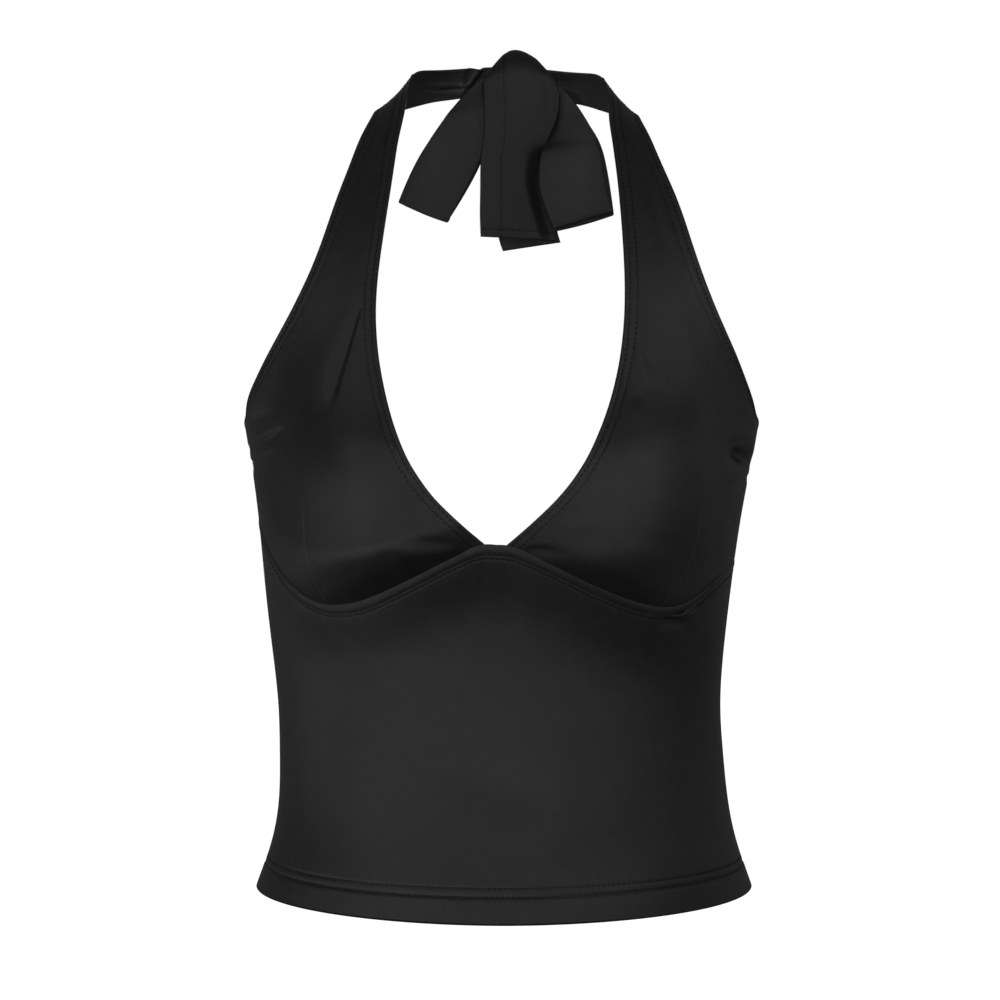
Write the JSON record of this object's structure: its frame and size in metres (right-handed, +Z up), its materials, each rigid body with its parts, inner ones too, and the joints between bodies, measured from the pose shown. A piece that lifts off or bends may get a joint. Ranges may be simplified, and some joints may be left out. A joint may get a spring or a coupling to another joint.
{
  "type": "halter tank top",
  "caption": "Black stretch-jersey halter-neck crop top with darted cups, a curved underbust band and ties knotted in a bow behind the neck, filled out as worn.",
  "frame": {"origin": "middle of the neck loop, at the height where the ties lie behind the wearer's neck", "axes": "+Z up, -Y to the wearer's front, +X to the right as seen from the front"},
  "size_m": [0.3044, 0.2308, 0.5076],
  "materials": {
    "jersey": "soft matt stretch jersey"
  },
  "bodies": {
    "root": {"front_body": "jersey", "back_body": "jersey", "underbust_band": "jersey", "cup_right": "jersey", "cup_left": "jersey", "tie_right": "jersey", "tie_left": "jersey", "knot": "jersey", "tail_front": "jersey", "tail_back": "jersey", "loop_left": "jersey", "loop_right": "jersey"}
  },
  "joints": []
}
